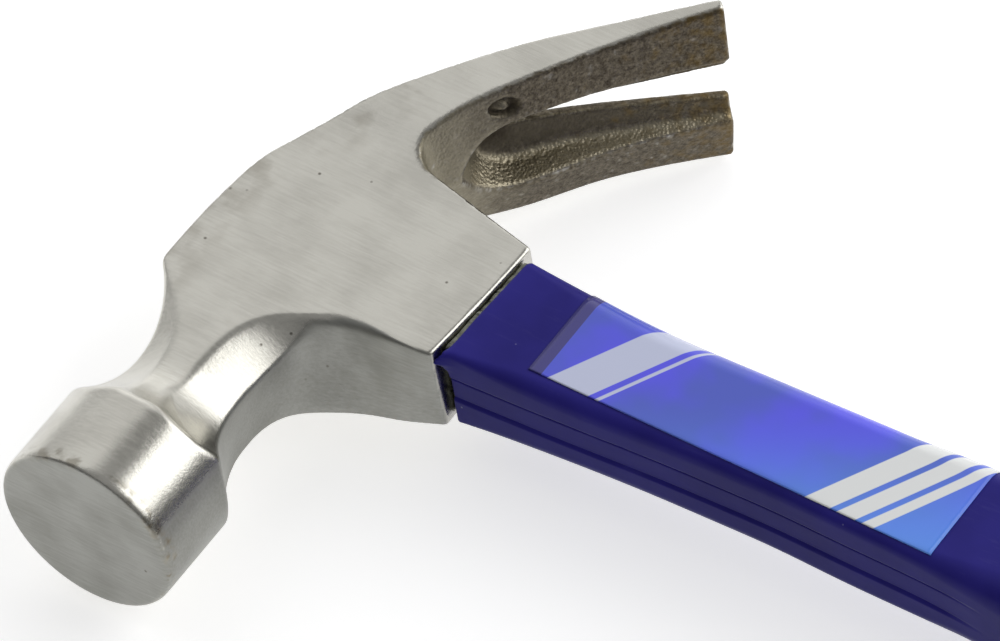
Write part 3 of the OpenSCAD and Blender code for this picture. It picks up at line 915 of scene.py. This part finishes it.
# %% Label print
# Printed polypropylene film: glossy ink under a clear coat, with the handle showing through its clear end
label_film, tree, shader, _ = new_material("printed_polypropylene_film")
at = add_node(tree, "Attribute", out="Vector", attribute_name="print_place")
along = add_node(tree, "SeparateXYZ", {0: at}, out="X")
side = add_node(tree, "SeparateXYZ", {0: at}, out="Y")
wander = add_node(tree, "TexNoise", {"Vector": at, "Scale": 0.09, "Detail": 2})
drift = add_node(tree, "MapRange", {"Value": wander, "To Min": -14.0, "To Max": 14.0})
lean = add_node(tree, "Math", {0: side, 1: -0.55, 2: along}, operation="MULTIPLY_ADD")
sway = add_node(tree, "Math", {0: lean, 1: drift}, operation="ADD")
turning = add_node(tree, "Math", {0: sway, 1: 0.21}, operation="MULTIPLY")
wave = add_node(tree, "Math", {0: turning}, operation="SINE")
ink = two_tone(tree, wave, -0.9, 0.95, "#5666d2", "#5f5df8")
low_light = add_node(tree, "Math", {0: side, 1: -2.2, 2: along}, operation="MULTIPLY_ADD")
sunny = add_node(tree, "MapRange", {
    "Value": low_light, "From Min": 4.0, "From Max": 80.0}, interpolation_type="SMOOTHSTEP")
ink = add_node(tree, "Mix", {"Factor": sunny, "A": ink, "B": linear("#659eff")}, data_type="RGBA")
# Slanting bars between two places along the label's front edge, with edges of soft ink
soft = 0.08
for start, end, colour in ((3.4, 10.6, "#cdd3ee"), (11.8, 12.5, "#cdd3ee"), (49.0, 53.4, "#f0f2f2"),
                           (54.6, 57.8, "#f0f2f2"), (59.0, 61.0, "#f0f2f2")):
    after = add_node(tree, "MapRange", {"Value": lean, "From Min": start - soft, "From Max": start + soft})
    before = add_node(tree, "MapRange", {"Value": lean, "From Min": end + soft, "From Max": end - soft})
    inside = add_node(tree, "Math", {0: after, 1: before}, operation="MULTIPLY")
    ink = add_node(tree, "Mix", {"Factor": inside, "A": ink, "B": linear(colour)}, data_type="RGBA")
clear_end = add_node(tree, "MapRange", {"Value": along, "From Min": 2.3, "From Max": 2.2})
ink = add_node(tree, "Mix", {"Factor": clear_end, "A": ink, "B": linear("#4a478a")}, data_type="RGBA")
feed(tree, shader, {"Base Color": ink, "Roughness": 0.2, "IOR": 1.5, "Specular IOR Level": 0.4})
label = new_piece("printed_label_film", label_points, label_faces, "handle_label", label_film)
places = np.zeros((2, rows, columns, 3))
places[..., 0] = (label_x - LABEL_START)[:, None]
places[..., 1] = across
label.data.attributes.new("print_place", "FLOAT_VECTOR", "POINT").data.foreach_set("vector", places.ravel())

# %% [markdown]
# ## Resin and core
# Epoxy is poured round the rod in the eye. It fills the eye, sinks a little under the crown as it cures,
# and squeezes out at the skirt's mouth as a ragged bead. It is one loft, closed on itself, that runs down
# the eye's wall, out over the bead and back up the rod. The rod keeps its CAD shape, and gets the look of
# sawn glass fibre.

# %% Resin mesh
eye_line = outline(eye_slot, SHAFT_Y, AROUND)
RIPPLES = 6.6
rim_places = [(RIPPLES * math.cos(a), RIPPLES * math.sin(a), 0.4) for a in AROUND]
ooze = np.array([noise.fractal(p, 1.0, 2.0, 4) for p in rim_places])
inset = 0.45 + 0.35 * np.clip(ooze, -1, 1) + 0.9 * smooth_step(-np.cos(AROUND), 0.6, 0.95)


def bead_line(extra):
    """Outline of the bead, drawn in from the jacket's rim by its ragged inset and a little more."""
    full = outline(jacket_section(MOUTH_X), SHAFT_Y, AROUND)
    outwards = np.stack((np.cos(AROUND), np.sin(AROUND)), axis=1)
    return full - (inset + extra)[:, None] * outwards


def against_mouth(line, back):
    """A ring that follows the skewed mouth of the skirt, this far below it."""
    y, z = line.T
    return ring(SKIRT_X + back - mouth(SKIRT_X, y, z), line)


def under_crown(line, sink):
    """A ring in the eye that follows the crown, this far below it."""
    return ring(crown_line(line[:, 0]) + sink, line)


between = (core_line + eye_line) / 2
resin_rings = [
    under_crown(core_line, 1.0), under_crown(between, 0.95), under_crown(eye_line, 0.65),
    *[ring(x, eye_line) for x in (-5, 10, 25)],
    against_mouth(eye_line, 0.02),
    *[against_mouth(bead_line(deep), back) for back, deep in ((0.02, 1.0), (0.2, 0.5), (0.4, 0.1))],
    ring(SKIRT_X + 0.7, bead_line(0.0)), ring(MOUTH_X, bead_line(0.3)), ring(MOUTH_X, core_line),
    *[ring(x, core_line) for x in (20, 5)],
]
resin_points, resin_faces = loft(resin_rings, "ring")

# %% Resin material
# Cured epoxy: glassy dark green grey where it is clean, with a pale dusty crust where it squeezed out
epoxy, tree, shader, place = new_material("cured_epoxy_resin")
crusts = add_node(tree, "TexNoise", {"Vector": place, "Scale": per_mm(1.6), "Detail": 5, "Roughness": 0.65})
tone = two_tone(tree, crusts, 0.42, 0.62, "#3a3d33", "#8d9080")
gloss = add_node(tree, "MapRange", {
    "Value": crusts, "From Min": 0.4, "From Max": 0.65, "To Min": 0.22, "To Max": 0.6})
bump = add_node(tree, "Bump", {"Height": crusts, "Distance": 0.15 * MM})
feed(tree, shader, {"Base Color": tone, "Roughness": gloss, "IOR": 1.55, "Normal": bump})
new_piece("poured_eye_resin", resin_points, resin_faces, "eye_resin", epoxy)

# %% Core material
# Pultruded fibreglass: straw-coloured polyester packed with glass threads down the rod, sawn off at the crown
fibreglass, tree, shader, place = new_material("pultruded_fibreglass")
# Rovings are about 0.02 mm thick; bundles of them show as specks of about half a millimetre
run_down = add_node(tree, "Mapping", {"Vector": place, "Scale": (0.02, 1, 1)})
rovings = add_node(tree, "TexVoronoi", {"Vector": run_down, "Scale": per_mm(0.55)}, out="Distance")
tone = two_tone(tree, rovings, 0.1, 0.7, "#d8d3b0", "#a79d6c")
bump = add_node(tree, "Bump", {"Height": rovings, "Distance": 0.06 * MM})
feed(tree, shader, {"Base Color": tone, "Roughness": 0.55, "IOR": 1.54, "Normal": bump})
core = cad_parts["fibreglass_core"]
for material_slot in core.material_slots:
    material_slot.material = fibreglass
print("Core slots:", len(core.material_slots))

# %% [markdown]
# ## Rubber grip
# The grip is soft black rubber moulded over the end of the jacket. It swells for the palm, draws in for
# the fingers and flares at the butt so that it can't slip out of the hand. It is grown from a field
# again, because the finger ribs, the round butt and the hanging hole all melt into the same body.

# %% Grip shape
BUTT_X, HANG_X, HANG_R = 313.8, 300.8, 4.0
grip_half_w = smooth_line((GRIP_X, 12.5), (151.8, 13.9), (187.8, 15.5), (216, 15.0), (242.8, 14.3),
                          (268, 16.2), (287.8, 17.4), (BUTT_X, 17.4))
grip_half_t = smooth_line((GRIP_X, 9.5), (151.8, 10.9), (187.8, 12.5), (216, 12.0), (242.8, 11.3),
                          (268, 12.6), (287.8, 13.4), (BUTT_X, 13.4))
grip_round = smooth_line((GRIP_X, 6), (151.8, 8), (187.8, 10), (BUTT_X, 10))
BUTT_ROUND, HOLE_ROUND = 9.0, 2.0
RIB_START, RIB_END, RIB_STEP, RIB_DEPTH = 162.0, 262.0, 7.2, 0.8


def finger_ribs(x, y):
    """Depth of the grooves between the finger ribs, on the narrow sides only."""
    from_groove = np.abs((x - RIB_START) / RIB_STEP % 1 - 0.5) * RIB_STEP
    groove = RIB_DEPTH * smooth_step(from_groove, 1.5, 0.5)
    between = smooth_step(x, RIB_START - 1, RIB_START + 1) * smooth_step(x, RIB_END + 1, RIB_END - 1)
    return groove * between * smooth_step(np.abs(y - SHAFT_Y), 7.0, 10.5)


def grip_field(x, y, z):
    """The grip: a rounded, ribbed body, hollow for the jacket's tang and pierced by the hanging hole."""
    body = rounded_box(y - SHAFT_Y, z, grip_half_w(x), grip_half_t(x), grip_round(x)) + finger_ribs(x, y)
    inside_tang = np.maximum(tang_section(y, z), x - TANG_END)
    hole = np.hypot(x - HANG_X, y - SHAFT_Y) - HANG_R
    body = smooth_max(body, x - BUTT_X, BUTT_ROUND)
    body = smooth_max(body, -hole, HOLE_ROUND)
    return np.maximum(np.maximum(body, GRIP_X - x), -inside_tang)


GRIP_LOW, GRIP_HIGH, GRIP_CELL = (136.5, 45.5, -15), (315.5, 83, 15), 0.7
grip_points, grip_quads, _ = grow(grip_field, GRIP_LOW, GRIP_HIGH, GRIP_CELL)

# %% Rubber material
# Moulded rubber: near black and matt, with the fine grain of the mould and a pale bloom in patches
rubber, tree, shader, place = new_material("moulded_black_rubber")
mould_grain = add_node(tree, "TexVoronoi", {
    "Vector": place, "Scale": per_mm(0.9)}, feature="SMOOTH_F1", out="Distance")
bloom = add_node(tree, "TexNoise", {"Vector": place, "Scale": per_mm(11), "Detail": 6})
tone = two_tone(tree, bloom, 0.4, 0.7, "#19191b", "#2a2a2d")
gloss = add_node(tree, "MapRange", {
    "Value": bloom, "From Min": 0.3, "From Max": 0.7, "To Min": 0.55, "To Max": 0.75})
bump = add_node(tree, "Bump", {"Height": mould_grain, "Distance": 0.12 * MM})
feed(tree, shader, {"Base Color": tone, "Roughness": gloss, "IOR": 1.52, "Normal": bump})
new_piece("moulded_rubber_grip", grip_points, grip_quads, "rubber_grip", rubber)
